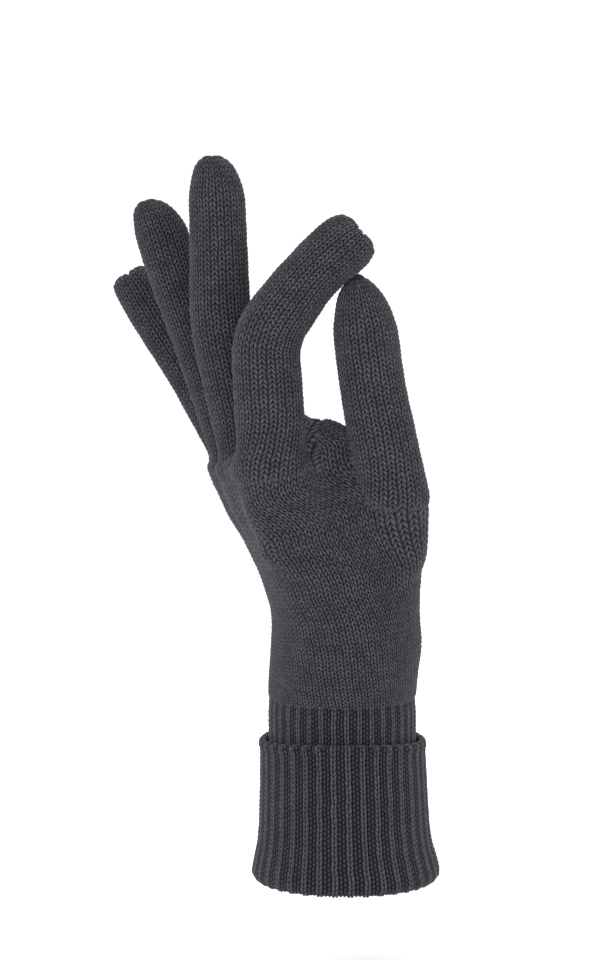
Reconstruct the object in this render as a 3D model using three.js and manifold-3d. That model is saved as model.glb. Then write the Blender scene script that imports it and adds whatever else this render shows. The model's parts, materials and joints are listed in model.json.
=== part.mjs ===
// A knitted left-hand glove with a turned-back ribbed cuff, shaped as it is when a hand fills it:
// the forefinger bends to meet the thumb and the other three fingers stand up.
//
// Frame, in millimetres: the origin is the centre of the cuff's opening, +Z points up the arm to the
// fingertips, +X is the way the palm faces and -Y is the thumb's side.
//
// The knitting bends at every knuckle. Each stretch between two knuckles is a stiff hollow sleeve with
// a ball end round its own knuckle, and the sleeve before it stops short of that ball, so that each
// sleeve can turn on its neighbour and a finger can still pass through them all.
import * as THREE from "three";
import { mergeVertices } from "three/addons/utils/BufferGeometryUtils.js";
import Module from "manifold-3d";

const wasm = await Module();
wasm.setup();

// ---- driving dimensions ----
const FABRIC = 1.6; // thickness of one layer of the plain knitting
const RIB_FABRIC = 2.4; // thickness of one layer of the ribbing
const GAP = 0.4; // clearance between pieces that touch or turn on one another
const SIDES = 20; // flats round a finger
const BROAD_SIDES = 36; // flats round the hand and the cuff

const WRIST_X = -1.8; // middle of the wrist, towards the palm
const WRIST_RADIUS = 24.3; // of the ribbing, front to back
const WRIST_BREADTH = 1.215; // breadth across the hand over the depth front to back
const WRIST_JOINT_Z = 67.5; // height of the wrist's hinge
const RIB_CUT = 4; // how much lower the ribbing's edge is on the palm's side
const CUFF_HEIGHT = 46; // of the turned-back layer, without its cast-on edge
const CAST_ON_HEIGHT = 2.6; // of the rolled edge on top of it
const CUFF_GAP = 1; // room between the two layers of the cuff
const CUFF_SHIFT = 0.6; // how far the loose turned-back layer hangs towards the palm
const CUFF_FLARE = 2.6; // how far the fold stands out past the cuff above it
const FLARE_HEIGHT = 8; // where the fold is widest
const LIP = 2.4; // thickness of the fold under the ribbing

const HAND_TILT = -23; // degrees from upright, towards the palm
const HAND_TWIST = 12; // degrees that the knuckles are turned from the wrist, the forefinger forward
const PALM_CUT = 3; // how much lower the knuckles' edge is on the palm's side
const BALL_OPENING = 0.45; // how far below its centre a ball is open, as a share of its radius
const FINGER_BEND = 80; // the most that a finger or thumb bends at the end of a sleeve, in degrees

// Each finger: its knuckle's place towards the palm and its height, in the hand's own frame, the room
// left beside it on the thumb's side, its lean towards the little finger's side, its breadth over its
// depth, and its three stretches from the knuckle to the tip: length, tilt from upright towards the
// palm, and radius at the near joint.
const FINGERS = {
  index: {
    forward: 7.1,
    height: 78.2,
    apart: 0,
    lean: 0,
    breadth: 0.82,
    lengths: [39.5, 24.8, 22],
    tilts: [-1, 34.8, 48.5],
    radii: [11.4, 10.4, 9.9],
    dome: 10,
  },
  middle: {
    forward: 1.6,
    height: 80.9,
    apart: 0.48,
    lean: 0,
    breadth: 0.87,
    lengths: [43.2, 29.9, 24.6],
    tilts: [-13.2, -1.5, -3.5],
    radii: [10.2, 9.7, 9.2],
    dome: 15,
  },
  ring: {
    forward: -2.4,
    height: 78.9,
    apart: 0.67,
    lean: 2,
    breadth: 0.9,
    lengths: [40.8, 26.4, 24.2],
    tilts: [-19.6, -20, -21.6],
    radii: [9.4, 8.8, 8.4],
    dome: 12,
  },
  little: {
    forward: -4.2,
    height: 77.3,
    apart: 1.19,
    lean: 6,
    breadth: 0.9,
    lengths: [34.8, 21.6, 19.6],
    tilts: [-28.8, -31.2, -33],
    radii: [8.5, 8, 7.7],
    dome: 9,
  },
};
const STRETCHES = ["lower", "middle", "tip"];

const THUMB = {
  root: [16.1, 62], // towards the palm and up, from the wrist's hinge
  breadth: 0.86,
  lengths: [37.2, 32],
  tilts: [-10.4, -6.5],
  radii: [11.3, 10.1],
  dome: 16,
};
const THENAR_FOOT = [8.2, -8, 14.5]; // where the ball of the thumb starts, from the wrist's hinge
const THENAR_RADIUS = 17.5;
const JOIN_ROW = 1.6; // height of the row of stitches that joins the thumb to the hand
const WEB_THICK = 4.4; // of the fold between the forefinger and the thumb
const WEB_REACH = 27; // how far up the thumb the fold starts
const WEB_RISE = 10; // how far above the forefinger's knuckle the fold ends
const WEB_SAG = 8; // how far the fold's free edge sags between the two
const WEB_OVERLAP = 5; // how far the fold runs into the hand
const CROTCH_THICK = 5; // of the bridge between two fingers, before it is cut to clear them
const CROTCH_HEIGHT = 2.4; // above the hand's edge
const KNUCKLES_SHIFT = -1.35; // of the middle of the four fingers, from the middle of the hand
const HAND_SPARE = 1; // half the breadth that the hand has over its four fingers
const KNUCKLE_ROOM = 0.2; // room inside the hand round the deepest finger's ball

const DRAW_RING = 1.3; // radius of the loop of yarn that closes a fingertip
const YARN = 0.65; // half the thickness of that yarn

const CHARCOAL = 0x3c3a40;
const radians = THREE.MathUtils.degToRad;

// ---- materials ----
const knit = new THREE.MeshStandardMaterial({ color: CHARCOAL, roughness: 0.95, metalness: 0 });
const rib = new THREE.MeshStandardMaterial({ color: 0x38363c, roughness: 0.95, metalness: 0 });
const yarn = new THREE.MeshStandardMaterial({ color: 0x312f35, roughness: 0.95, metalness: 0 });

// ---- helpers ----
function solidOf(geometry) {
  const bare = geometry.clone();
  bare.deleteAttribute("normal");
  bare.deleteAttribute("uv");
  const merged = mergeVertices(bare, 1e-3);
  const mesh = new wasm.Mesh({
    numProp: 3,
    vertProperties: new Float32Array(merged.attributes.position.array),
    triVerts: new Uint32Array(merged.index.array),
  });
  return new wasm.Manifold(mesh);
}

function geometryOf(solid) {
  const mesh = solid.getMesh();
  const geometry = new THREE.BufferGeometry();
  geometry.setAttribute("position", new THREE.BufferAttribute(mesh.vertProperties, 3));
  geometry.setIndex(new THREE.BufferAttribute(mesh.triVerts, 1));
  return geometry;
}

function named(name, geometry, material) {
  const mesh = new THREE.Mesh(geometry, material);
  mesh.name = name;
  return mesh;
}

// Turns a closed profile of [radius, height] points about the Z axis. The outside runs upwards.
function turned(profile, sides) {
  const points = profile.map(([radius, height]) => new THREE.Vector2(Math.max(radius, 0), height));
  points.push(points[0].clone());
  return new THREE.LatheGeometry(points, sides).rotateX(Math.PI / 2);
}

// How far below the next ball's centre a sleeve has to stop to clear that ball with its inside.
function rimBelow(ballRadius, wall) {
  return Math.sqrt((ballRadius + GAP) ** 2 - (ballRadius - wall) ** 2);
}

// The part of a ball of this radius from its opening up to its widest place, in the given steps.
function ballArc(radius, openAt, steps) {
  const start = -Math.asin(openAt / radius);
  const arc = [];
  for (let i = 0; i <= steps; i += 1) {
    const angle = start * (1 - i / steps);
    arc.push([radius * Math.cos(angle), radius * Math.sin(angle)]);
  }
  return arc;
}

// Lowers a turned body's top edge, most of all on the palm's side.
function cutBack(geometry, top, radius, depth) {
  const place = geometry.attributes.position;
  for (let i = 0; i < place.count; i += 1) {
    const share = (place.getX(i) + radius) / (2 * radius);
    if (place.getZ(i) > top - 0.01) place.setZ(i, place.getZ(i) - depth * share);
  }
  return geometry;
}

// A sleeve open at both ends. Its far rim is cut back on the palm's side to let the next one bend.
function sleeve({ radius, nextRadius, length, breadth }) {
  const openAt = BALL_OPENING * radius;
  const rim = length - rimBelow(nextRadius, FABRIC);
  const outside = [...ballArc(radius, openAt, 3), [nextRadius, rim]];
  const inside = [...ballArc(radius - FABRIC, openAt, 3), [nextRadius - FABRIC, rim]];
  const geometry = turned([...outside, ...inside.reverse()], SIDES);
  const mitre = nextRadius * Math.tan(radians(FINGER_BEND / 2)) + GAP;
  const depth = Math.max(mitre - (length - rim), 0);
  return cutBack(geometry, rim, nextRadius, depth).scale(1, breadth, 1);
}

// The closed end of a finger: a ball end, a straight stretch and a dome.
function fingertip({ radius, length, dome, breadth }) {
  const openAt = BALL_OPENING * radius;
  const domeFrom = length - dome;
  const steps = 6;
  const outside = [...ballArc(radius, openAt, 3)];
  const inside = [...ballArc(radius - FABRIC, openAt, 3)];
  for (let i = 0; i <= steps; i += 1) {
    const angle = (i / steps) * (Math.PI / 2);
    outside.push([radius * Math.cos(angle), domeFrom + dome * Math.sin(angle)]);
    const depth = dome - FABRIC;
    inside.push([(radius - FABRIC) * Math.cos(angle), domeFrom + depth * Math.sin(angle)]);
  }
  outside[outside.length - 1][0] = 0;
  inside[inside.length - 1][0] = 0;
  return turned([...outside, ...inside.reverse()], SIDES).scale(1, breadth, 1);
}

// The loop of yarn that is drawn tight round the last stitches of a fingertip.
function drawRing(length) {
  return new THREE.TorusGeometry(DRAW_RING, YARN, 6, 12).translate(0, 0, length + YARN + GAP);
}

// A chain of groups, one at each joint of a finger, each turned from the one before it.
function digit(name, { lengths, tilts, radii, breadth, dome }, stretches, baseTilt) {
  let first = null;
  let parent = null;
  let tilt = baseTilt;
  stretches.forEach((stretch, i) => {
    const joint = new THREE.Group();
    joint.rotation.y = radians(tilts[i] - tilt);
    if (parent) {
      joint.position.set(0, 0, lengths[i - 1]);
      parent.add(joint);
    }
    const last = i === stretches.length - 1;
    const size = { radius: radii[i], nextRadius: radii[i + 1], length: lengths[i], breadth, dome };
    joint.add(named(`${name}_${stretch}`, last ? fingertip(size) : sleeve(size), knit));
    if (last) joint.add(named(`${name}_draw_yarn`, drawRing(lengths[i]), yarn));
    first = first ?? joint;
    tilt = tilts[i];
    parent = joint;
  });
  return first;
}

// ---- the cuff ----
function wristRib() {
  const top = WRIST_JOINT_Z - rimBelow(WRIST_RADIUS, RIB_FABRIC);
  const foot = LIP + GAP;
  const inner = WRIST_RADIUS - RIB_FABRIC;
  const outside = [[WRIST_RADIUS, foot], [WRIST_RADIUS, top / 2], [WRIST_RADIUS, top]];
  const inside = outside.map(([, height]) => [inner, height]).reverse();
  const geometry = turned([...outside, ...inside], BROAD_SIDES);
  return cutBack(geometry, top, WRIST_RADIUS, RIB_CUT).scale(1, WRIST_BREADTH, 1);
}

const CUFF_INNER = WRIST_RADIUS + CUFF_GAP;
const CUFF_OUTER = CUFF_INNER + RIB_FABRIC;

function cuffTurnBack() {
  const fold = CUFF_OUTER + CUFF_FLARE;
  const outside = [
    [fold - 1.8, 0],
    [fold - 0.5, 2.2],
    [fold, FLARE_HEIGHT],
    [CUFF_OUTER + 0.5, 2 * FLARE_HEIGHT],
    [CUFF_OUTER, CUFF_HEIGHT],
  ];
  const inside = [
    [CUFF_INNER, CUFF_HEIGHT],
    [CUFF_INNER, LIP],
    [CUFF_INNER - CUFF_GAP - RIB_FABRIC, LIP],
    [CUFF_INNER - CUFF_GAP - RIB_FABRIC, 0],
  ];
  return turned([...outside, ...inside], BROAD_SIDES).scale(1, WRIST_BREADTH, 1);
}

function castOnEdge() {
  const foot = CUFF_HEIGHT + GAP;
  const top = foot + CAST_ON_HEIGHT;
  const outside = [[CUFF_OUTER - 0.2, foot], [CUFF_OUTER + 0.3, foot + 1], [CUFF_OUTER - 0.6, top]];
  return turned([...outside, [CUFF_INNER, top], [CUFF_INNER, foot]], BROAD_SIDES)
    .scale(1, WRIST_BREADTH, 1);
}

// ---- the hand ----
// The knuckles stand side by side across the hand, each as far from the next as their sleeves need.
const halfBreadth = ({ radii, breadth }) => radii[0] * breadth;
const fourFingers = Object.values(FINGERS);
const FINGERS_ACROSS = fourFingers.reduce((sum, f) => sum + f.apart + 2 * halfBreadth(f), 0);
let across = KNUCKLES_SHIFT - FINGERS_ACROSS / 2;
for (const finger of fourFingers) {
  across += finger.apart + halfBreadth(finger);
  finger.knuckle = [finger.forward, across, finger.height];
  across += halfBreadth(finger);
}
const thumbSide = FINGERS.index.knuckle[1];

// The height, in the hand's frame, at which its edge clears the ball of every finger.
const KNUCKLE_RIM = Math.min(
  ...fourFingers.map(({ height, radii }) => height - rimBelow(radii[0], FABRIC)),
) - GAP;

// Height above the wrist's hinge, shift towards the palm, half depth, half breadth, and how square
// the section is.
const HAND_SECTIONS = [
  { z: 0, shift: 0, depth: WRIST_RADIUS, breadth: WRIST_RADIUS * WRIST_BREADTH, square: 2 },
  { z: 12, shift: 2.5, depth: 21.5, breadth: 30, square: 2 },
  { z: 26, shift: 4.5, depth: 18.6, breadth: 31.5, square: 2.1 },
  { z: 42, shift: 4.3, depth: 15.6, breadth: 33.5, square: 2.4 },
  { z: 58, shift: 2.3, depth: 13.8, breadth: 35.5, square: 2.9 },
  {
    z: KNUCKLE_RIM,
    shift: 0.6,
    depth: FINGERS.index.radii[0] + FABRIC + KNUCKLE_ROOM,
    breadth: FINGERS_ACROSS / 2 + HAND_SPARE,
    square: 3.2,
  },
];

function handSection(z) {
  const last = HAND_SECTIONS.length - 1;
  let i = 0;
  while (i < last - 1 && z > HAND_SECTIONS[i + 1].z) i += 1;
  const [low, high] = [HAND_SECTIONS[i], HAND_SECTIONS[i + 1]];
  const share = THREE.MathUtils.clamp((z - low.z) / (high.z - low.z), 0, 1);
  const mixed = {};
  for (const key of ["shift", "depth", "breadth", "square"]) {
    mixed[key] = THREE.MathUtils.lerp(low[key], high[key], share);
  }
  return mixed;
}

// A closed body of the hand's own sections, drawn in by inset all round and turned more and more
// towards the knuckles. Below the wrist's hinge it is the wrist's ball.
function handBody(inset, foot, top) {
  const radius = WRIST_RADIUS - inset;
  const levels = ballArc(radius, Math.min(foot, radius * 0.98), 4).map(([, height]) => height);
  for (const { z } of HAND_SECTIONS.slice(1, -1)) levels.push(z);
  levels.push(top);
  const profile = [[0, levels[0]], ...levels.map((z) => [1, z]), [0, top]];
  const points = profile.map(([r, z]) => new THREE.Vector2(r, z));
  const geometry = new THREE.LatheGeometry(points, BROAD_SIDES).rotateX(Math.PI / 2);
  const place = geometry.attributes.position;
  const spot = new THREE.Vector3();
  for (let i = 0; i < place.count; i += 1) {
    spot.fromBufferAttribute(place, i);
    const { shift, depth, breadth, square } = handSection(spot.z);
    const drawn = spot.z < 0 ? Math.sqrt(Math.max(radius ** 2 - spot.z ** 2, 0)) / radius : 1;
    const shape = (value) => Math.sign(value) * Math.abs(value) ** (2 / square);
    spot.x = (depth - inset) * drawn * shape(spot.x);
    spot.y = (breadth - inset) * drawn * shape(spot.y);
    const lowered = spot.z === top ? PALM_CUT * (spot.x / (2 * depth) + 0.5) : 0;
    const twist = HAND_TWIST * THREE.MathUtils.clamp(spot.z / KNUCKLE_RIM, 0, 1);
    spot.z -= lowered;
    spot.applyAxisAngle(new THREE.Vector3(0, 0, 1), radians(twist));
    spot.x += shift;
    place.setXYZ(i, spot.x, spot.y, spot.z);
  }
  return geometry;
}

const wristPoint = new THREE.Vector3(WRIST_X, 0, WRIST_JOINT_Z);
const sideways = new THREE.Vector3(0, 1, 0);

// From upright axes at the wrist's hinge to the hand's own frame.
function intoHand(point) {
  return new THREE.Vector3(...point).applyAxisAngle(sideways, radians(-HAND_TILT));
}

// Turns and moves a geometry made along +Z so that it runs from one point towards another.
function aimed(geometry, from, towards) {
  const along = towards.clone().sub(from).normalize();
  const turn = new THREE.Quaternion().setFromUnitVectors(new THREE.Vector3(0, 0, 1), along);
  return geometry.applyQuaternion(turn).translate(...from.toArray());
}

// The way that a digit's first stretch points, in the hand's frame.
function reachOf({ tilts, lengths }) {
  const along = new THREE.Vector3(0, 0, lengths[0]);
  return along.applyAxisAngle(sideways, radians(tilts[0] - HAND_TILT));
}

// The space that a digit's first stretch needs, with its clearance.
function roomFor(start, { radii, breadth, lengths, ...rest }) {
  const [near, far] = radii.map((radius) => radius + GAP);
  const profile = [[0, -near], ...ballArc(near, near * 0.999, 6), [far, lengths[0]], [0, lengths[0]]];
  const room = turned(profile, SIDES).scale(1, breadth + GAP / near, 1);
  return solidOf(aimed(room, start, start.clone().add(reachOf({ lengths, ...rest }))));
}

const thumbRoot = intoHand([THUMB.root[0], thumbSide, THUMB.root[1]]);
const thenarFoot = intoHand(THENAR_FOOT);
const thenarLength = thumbRoot.distanceTo(thenarFoot);
const thenarMouth = thenarLength - rimBelow(THUMB.radii[0], FABRIC) - JOIN_ROW - 2 * GAP;

// The ball of the thumb: a body that narrows from the palm to the thumb.
function thenar(inset, top) {
  const wide = THENAR_RADIUS - inset;
  const narrow = THUMB.radii[0] - inset;
  const steps = 5;
  const profile = [[0, -wide], ...ballArc(wide, wide * 0.999, 5)];
  for (let i = 1; i <= steps; i += 1) {
    const share = i / steps;
    const eased = THREE.MathUtils.smoothstep(share, 0, 1);
    profile.push([THREE.MathUtils.lerp(wide, narrow, eased), top * share]);
  }
  profile.push([0, top]);
  return solidOf(aimed(turned(profile, SIDES), thenarFoot.clone(), thumbRoot));
}

// The fold of knitting between the forefinger's root and the thumb, in the hand's frame. Its free
// edge sags from the side of the thumb to the front of the forefinger.
function thumbWeb() {
  const [knuckleX, , knuckleZ] = FINGERS.index.knuckle;
  const outline = new THREE.Shape();
  outline.moveTo(knuckleX - WEB_OVERLAP, thenarFoot.z + WEB_OVERLAP);
  outline.lineTo(thumbRoot.x - THUMB.radii[0], thumbRoot.z - WEB_OVERLAP);
  outline.lineTo(thumbRoot.x - 1, thumbRoot.z + WEB_REACH);
  outline.quadraticCurveTo(
    thumbRoot.x - WEB_SAG,
    thumbRoot.z + WEB_REACH,
    knuckleX + 1.3 * FINGERS.index.radii[0],
    knuckleZ + WEB_RISE,
  );
  outline.lineTo(knuckleX - WEB_OVERLAP, knuckleZ - WEB_RISE);
  outline.closePath();
  return new THREE.ExtrudeGeometry(outline, { depth: WEB_THICK, bevelEnabled: false, curveSegments: 5 })
    .rotateX(Math.PI / 2)
    .translate(0, thumbSide + WEB_THICK, 0);
}

function handTube() {
  const outer = solidOf(handBody(0, BALL_OPENING * WRIST_RADIUS, KNUCKLE_RIM))
    .add(thenar(0, thenarMouth))
    .add(solidOf(thumbWeb()));
  const inner = solidOf(handBody(FABRIC, WRIST_RADIUS, KNUCKLE_RIM + PALM_CUT))
    .add(thenar(FABRIC, thenarMouth + 1));
  const indexKnuckle = new THREE.Vector3(...FINGERS.index.knuckle);
  const clear = THUMB.radii[0] + GAP;
  const rowRoom = turned(
    [[0, thenarMouth], [clear, thenarMouth], [clear, thenarLength], [0, thenarLength]],
    SIDES,
  );
  return geometryOf(
    outer
      .subtract(inner)
      .subtract(solidOf(aimed(rowRoom, thenarFoot.clone(), thumbRoot)))
      .subtract(roomFor(thumbRoot, THUMB))
      .subtract(roomFor(indexKnuckle, FINGERS.index)),
  );
}

// The row of stitches picked up round the thumb's opening.
function thumbJoinRow() {
  const foot = thenarMouth + GAP;
  const radius = THUMB.radii[0] - 0.1;
  const outside = [[radius, foot], [radius, foot + JOIN_ROW]];
  const inside = [[radius - FABRIC, foot + JOIN_ROW], [radius - FABRIC, foot]];
  return aimed(turned([...outside, ...inside], SIDES), thenarFoot.clone(), thumbRoot);
}

// The short bridge of stitches cast on between two fingers, cut to clear both of their balls.
function crotch(near, far) {
  const halfDepth = 0.9 * near.radii[0];
  const outline = new THREE.Shape();
  outline.moveTo(-halfDepth, -2);
  outline.lineTo(halfDepth, -2 - PALM_CUT);
  outline.lineTo(halfDepth, -PALM_CUT);
  outline.quadraticCurveTo(0, CROTCH_HEIGHT + 2, -halfDepth, CROTCH_HEIGHT);
  outline.closePath();
  const middle = near.knuckle.map((value, i) => (value + far.knuckle[i]) / 2);
  const bridge = new THREE.ExtrudeGeometry(
    outline,
    { depth: CROTCH_THICK, bevelEnabled: false, curveSegments: 5 },
  )
    .rotateX(Math.PI / 2)
    .translate(middle[0], middle[1] + CROTCH_THICK / 2, KNUCKLE_RIM);
  return [near, far].reduce(
    (left, finger) => left.subtract(roomFor(new THREE.Vector3(...finger.knuckle), finger)),
    solidOf(bridge),
  );
}

// ---- assembly ----
const glove = new THREE.Group();

const cuff = new THREE.Group();
cuff.position.x = WRIST_X;
cuff.add(named("wrist_rib", wristRib(), rib));
const turnedBack = new THREE.Group();
turnedBack.position.x = CUFF_SHIFT;
turnedBack.add(named("cuff_turn_back", cuffTurnBack(), rib));
turnedBack.add(named("cast_on_edge", castOnEdge(), rib));
cuff.add(turnedBack);
glove.add(cuff);

const hand = new THREE.Group();
hand.position.copy(wristPoint);
hand.rotation.y = radians(HAND_TILT);
hand.add(named("hand_tube", handTube(), knit));
hand.add(named("thumb_join_row", thumbJoinRow(), yarn));
glove.add(hand);

const fingers = Object.entries(FINGERS);
fingers.forEach(([name, finger], i) => {
  const spread = new THREE.Group();
  spread.position.set(...finger.knuckle);
  spread.rotation.x = radians(-finger.lean);
  spread.add(digit(name, finger, STRETCHES, HAND_TILT));
  hand.add(spread);
  if (i > 0) {
    const [previousName, previous] = fingers[i - 1];
    hand.add(named(`crotch_${previousName}_${name}`, geometryOf(crotch(previous, finger)), knit));
  }
});

const thumb = digit("thumb", THUMB, ["lower", "tip"], HAND_TILT);
thumb.position.copy(thumbRoot);
hand.add(thumb);

export default glove;
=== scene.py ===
# %% [markdown]
# # A knitted wool glove
#
# This lesson dresses a plain jointed glove in real knitting. The joints, the sizes and the plain
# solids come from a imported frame, and everything that shows is modelled here: the ribbed cuff that
# turns back on itself, the hand, four fingers and a thumb, all in stocking stitch.
#
# Everything is in metres. +Z runs up the arm to the fingertips, +X is the way the palm faces and
# -Y is the thumb's side.

# %% Load the frame
import json
import math

import bmesh
import bpy
import numpy as np
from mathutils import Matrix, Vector


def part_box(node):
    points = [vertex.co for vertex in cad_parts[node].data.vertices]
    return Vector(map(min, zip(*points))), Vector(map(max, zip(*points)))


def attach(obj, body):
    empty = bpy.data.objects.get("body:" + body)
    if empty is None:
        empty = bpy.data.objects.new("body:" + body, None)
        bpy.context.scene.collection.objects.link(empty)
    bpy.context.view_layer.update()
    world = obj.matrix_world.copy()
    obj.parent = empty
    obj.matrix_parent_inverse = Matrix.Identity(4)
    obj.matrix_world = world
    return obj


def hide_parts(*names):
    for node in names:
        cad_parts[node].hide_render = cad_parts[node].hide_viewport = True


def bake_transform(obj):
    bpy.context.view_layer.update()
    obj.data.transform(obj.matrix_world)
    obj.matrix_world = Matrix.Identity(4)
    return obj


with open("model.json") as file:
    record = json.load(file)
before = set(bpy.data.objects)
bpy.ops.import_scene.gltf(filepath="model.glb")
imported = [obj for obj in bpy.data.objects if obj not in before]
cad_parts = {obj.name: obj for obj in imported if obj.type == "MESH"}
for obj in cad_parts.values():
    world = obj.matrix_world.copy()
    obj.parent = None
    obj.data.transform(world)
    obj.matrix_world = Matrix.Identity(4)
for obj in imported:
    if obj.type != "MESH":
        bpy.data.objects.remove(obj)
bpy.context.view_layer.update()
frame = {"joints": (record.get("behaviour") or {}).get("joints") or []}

MM = 0.001
JOINTS = {joint["name"]: joint for joint in frame["joints"]}


# %% [markdown]
# ## The camera, the light and the floor
#
# A dark glove shows best in front of white and under large soft lights, so that each
# stitch shows by its own small shadow. The camera stands low and far away, with a long lens, which
# keeps the fingers at their true proportions. The floor and the world are both nearly white and the
# lamps are broad. A single sun would be simpler, but its hard shadows would hide half of the wool.

# %% Camera
LOOK_AT = Vector((-0.0172, 0.0, 0.1335))
CAMERA_DISTANCE = 1.1
CAMERA_RISE = math.radians(4)

camera_data = bpy.data.cameras.new("camera")
camera_data.lens = 125
camera = bpy.data.objects.new("camera", camera_data)
away = Vector((0, -math.cos(CAMERA_RISE), math.sin(CAMERA_RISE)))
camera.location = LOOK_AT + CAMERA_DISTANCE * away
camera.rotation_euler = (-away).to_track_quat("-Z", "Y").to_euler()
bpy.context.scene.collection.objects.link(camera)
bpy.context.scene.camera = camera
bpy.context.scene.view_settings.view_transform = "Standard"
print("camera at", [round(v, 3) for v in camera.location])


# %% Lights
def soft_light(name, place, size, power):
    """A square softbox that faces the middle of the glove."""
    data = bpy.data.lights.new(name, "AREA")
    data.size = size
    data.energy = power
    light = bpy.data.objects.new(name, data)
    light.location = place
    light.rotation_euler = (LOOK_AT - Vector(place)).to_track_quat("-Z", "Y").to_euler()
    bpy.context.scene.collection.objects.link(light)
    print(name, "of", power, "W")


soft_light("key_light", (-0.7, -0.9, 0.9), 0.5, 9)
soft_light("fill_light", (1.0, -0.7, 0.4), 0.8, 5)
soft_light("back_light", (0.3, 1.1, 0.8), 0.8, 8)

world = bpy.data.worlds.new("studio")
world.use_nodes = True
world.node_tree.nodes["Background"].inputs["Color"].default_value = (1, 1, 1, 1)
world.node_tree.nodes["Background"].inputs["Strength"].default_value = 1.1
bpy.context.scene.world = world

# %% Floor
FLOOR_Z = -0.03
FLOOR_HALF = 4
mesh = bpy.data.meshes.new("floor")
bm = bmesh.new()
bmesh.ops.create_grid(bm, x_segments=1, y_segments=1, size=FLOOR_HALF)
bmesh.ops.translate(bm, verts=bm.verts, vec=(0, 0, FLOOR_Z))
bm.to_mesh(mesh)
bm.free()
floor = bpy.data.objects.new("floor", mesh)
bpy.context.scene.collection.objects.link(floor)
floor_finish = bpy.data.materials.new("pale_floor")
floor_finish.use_nodes = True
paint = floor_finish.node_tree.nodes["Principled BSDF"]
paint.inputs["Base Color"].default_value = (0.93, 0.93, 0.93, 1)
paint.inputs["Roughness"].default_value = 0.8
mesh.materials.append(floor_finish)
print("floor at z", FLOOR_Z)


# %% [markdown]
# ## The wool
#
# The yarn is a soft two-ply wool in charcoal. Up close its colour is not flat: each loop is a little
# lighter or darker than the next, the plies twist round each other and fine hairs catch the light at
# the edges. A printed cloth could be wrapped on, but here every part of the pattern is worked out
# from each piece's own map, called knit, which counts stitches: one unit across is one column of
# stitches and one unit up is one row. So the pattern follows the cloth round every finger.

# %% The patterns of the wool
def noise(nodes, links, source, scale, detail):
    """A soft random pattern that reads its place from a source."""
    pattern = nodes.new("ShaderNodeTexNoise")
    pattern.inputs["Scale"].default_value = scale
    pattern.inputs["Detail"].default_value = detail
    links.new(source, pattern.inputs["Vector"])
    return pattern.outputs["Fac"]


def tinted(nodes, links, under, pattern, dark, light):
    """Multiplies a colour by a grey that follows a pattern."""
    grey = nodes.new("ShaderNodeMapRange")
    grey.inputs["From Min"].default_value = 0.3
    grey.inputs["From Max"].default_value = 0.7
    grey.inputs["To Min"].default_value = dark
    grey.inputs["To Max"].default_value = light
    links.new(pattern, grey.inputs["Value"])
    mix = nodes.new("ShaderNodeMix")
    mix.data_type = "RGBA"
    mix.blend_type = "MULTIPLY"
    mix.inputs["Factor"].default_value = 1
    links.new(under, mix.inputs["A"])
    links.new(grey.outputs["Result"], mix.inputs["B"])
    return mix.outputs["Result"]


# %% [markdown]
# The colour follows the height of the yarn, which each piece carries as the attribute called loft: painted
# shade makes the dips between the loops nearly black, and a painted highlight lightens the tops of the
# loops. That shade could be left to the real shadows, but a mesh of ridges is shallower than real loops,
# which hide most of the light. Two noises then tint the wool, one from stitch to stitch and one as fine as
# hairs, and a wave for the twist of the plies adds a fine bump.

# %% Wool material
# painted shade in the dips and a painted highlight on the tops of the loops, as shares of the colour
DIP_LOFT, DIP_PAINTED_SHADE = 0.26, 0.04  # how high a dip lies, and its share of the colour
TOP_LOFT, TOP_PAINTED_HIGHLIGHT = 0.97, 1.84  # the same for the top of a loop
PLY_SCALE = 1.5  # of the wave that draws the plies
HAIR_SCALE = 2600  # of the noise that draws the hairs


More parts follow.
